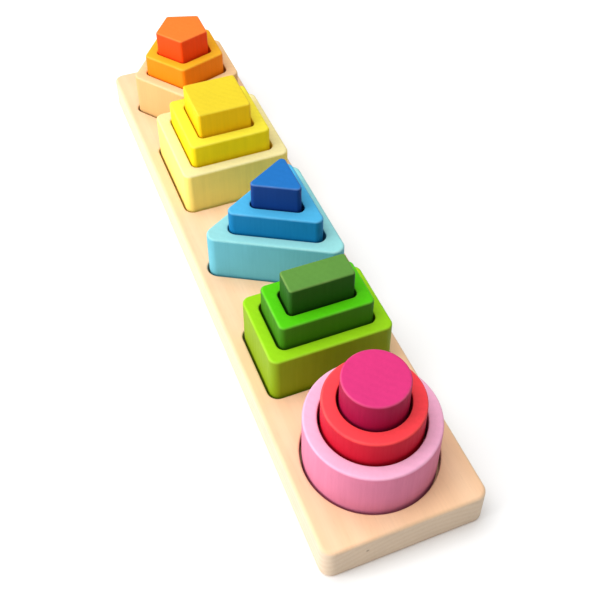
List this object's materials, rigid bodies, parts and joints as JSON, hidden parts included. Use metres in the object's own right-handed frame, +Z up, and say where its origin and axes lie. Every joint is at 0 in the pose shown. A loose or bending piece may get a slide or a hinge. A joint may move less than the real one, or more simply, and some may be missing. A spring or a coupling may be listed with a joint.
{
  "type": "nesting shape sorter",
  "caption": "Wooden shape sorter: a long board whose recesses hold round, rectangular, triangular, square and pentagonal nests of loose blocks that fit inside one another.",
  "frame": {"origin": "middle of the board's underside, on the surface it rests on", "axes": "+Z up, +X along the board towards the round nest, the triangle and the pentagon point to -Y"},
  "size_m": [0.3728, 0.08, 0.0745],
  "materials": {
    "bare_birch": "matt",
    "pale_pink_stain": "satin",
    "red_stain": "satin",
    "magenta_stain": "satin",
    "lime_stain": "satin",
    "green_stain": "satin",
    "dark_green_stain": "satin",
    "pale_blue_stain": "satin",
    "sky_blue_stain": "satin",
    "deep_blue_stain": "satin",
    "cream_yellow_stain": "satin",
    "yellow_stain": "satin",
    "golden_yellow_stain": "satin",
    "peach_stain": "satin",
    "orange_stain": "satin",
    "red_orange_stain": "satin"
  },
  "bodies": {
    "board": {"board": "bare_birch"},
    "circle_large": {"circle_large": "pale_pink_stain"},
    "circle_medium": {"circle_medium": "red_stain"},
    "circle_small": {"circle_small": "magenta_stain"},
    "rectangle_large": {"rectangle_large": "lime_stain"},
    "rectangle_medium": {"rectangle_medium": "green_stain"},
    "rectangle_small": {"rectangle_small": "dark_green_stain"},
    "triangle_large": {"triangle_large": "pale_blue_stain"},
    "triangle_medium": {"triangle_medium": "sky_blue_stain"},
    "triangle_small": {"triangle_small": "deep_blue_stain"},
    "square_large": {"square_large": "cream_yellow_stain"},
    "square_medium": {"square_medium": "yellow_stain"},
    "square_small": {"square_small": "golden_yellow_stain"},
    "pentagon_large": {"pentagon_large": "peach_stain"},
    "pentagon_medium": {"pentagon_medium": "orange_stain"},
    "pentagon_small": {"pentagon_small": "red_orange_stain"}
  },
  "joints": [
    {"name": "circle_large_lift", "type": "slide", "parent": "board", "child": "circle_large", "axis": [0, 0, 1], "range_m": [0, 0.064]},
    {"name": "circle_medium_lift", "type": "slide", "parent": "circle_large", "child": "circle_medium", "axis": [0, 0, 1], "range_m": [0, 0.05]},
    {"name": "circle_small_lift", "type": "slide", "parent": "circle_medium", "child": "circle_small", "axis": [0, 0, 1], "range_m": [0, 0.036]},
    {"name": "rectangle_large_lift", "type": "slide", "parent": "board", "child": "rectangle_large", "axis": [0, 0, 1], "range_m": [0, 0.064]},
    {"name": "rectangle_medium_lift", "type": "slide", "parent": "rectangle_large", "child": "rectangle_medium", "axis": [0, 0, 1], "range_m": [0, 0.05]},
    {"name": "rectangle_small_lift", "type": "slide", "parent": "rectangle_medium", "child": "rectangle_small", "axis": [0, 0, 1], "range_m": [0, 0.036]},
    {"name": "triangle_large_lift", "type": "slide", "parent": "board", "child": "triangle_large", "axis": [0, 0, 1], "range_m": [0, 0.064]},
    {"name": "triangle_medium_lift", "type": "slide", "parent": "triangle_large", "child": "triangle_medium", "axis": [0, 0, 1], "range_m": [0, 0.05]},
    {"name": "triangle_small_lift", "type": "slide", "parent": "triangle_medium", "child": "triangle_small", "axis": [0, 0, 1], "range_m": [0, 0.036]},
    {"name": "square_large_lift", "type": "slide", "parent": "board", "child": "square_large", "axis": [0, 0, 1], "range_m": [0, 0.064]},
    {"name": "square_medium_lift", "type": "slide", "parent": "square_large", "child": "square_medium", "axis": [0, 0, 1], "range_m": [0, 0.05]},
    {"name": "square_small_lift", "type": "slide", "parent": "square_medium", "child": "square_small", "axis": [0, 0, 1], "range_m": [0, 0.036]},
    {"name": "pentagon_large_lift", "type": "slide", "parent": "board", "child": "pentagon_large", "axis": [0, 0, 1], "range_m": [0, 0.064]},
    {"name": "pentagon_medium_lift", "type": "slide", "parent": "pentagon_large", "child": "pentagon_medium", "axis": [0, 0, 1], "range_m": [0, 0.05]},
    {"name": "pentagon_small_lift", "type": "slide", "parent": "pentagon_medium", "child": "pentagon_small", "axis": [0, 0, 1], "range_m": [0, 0.036]}
  ]
}
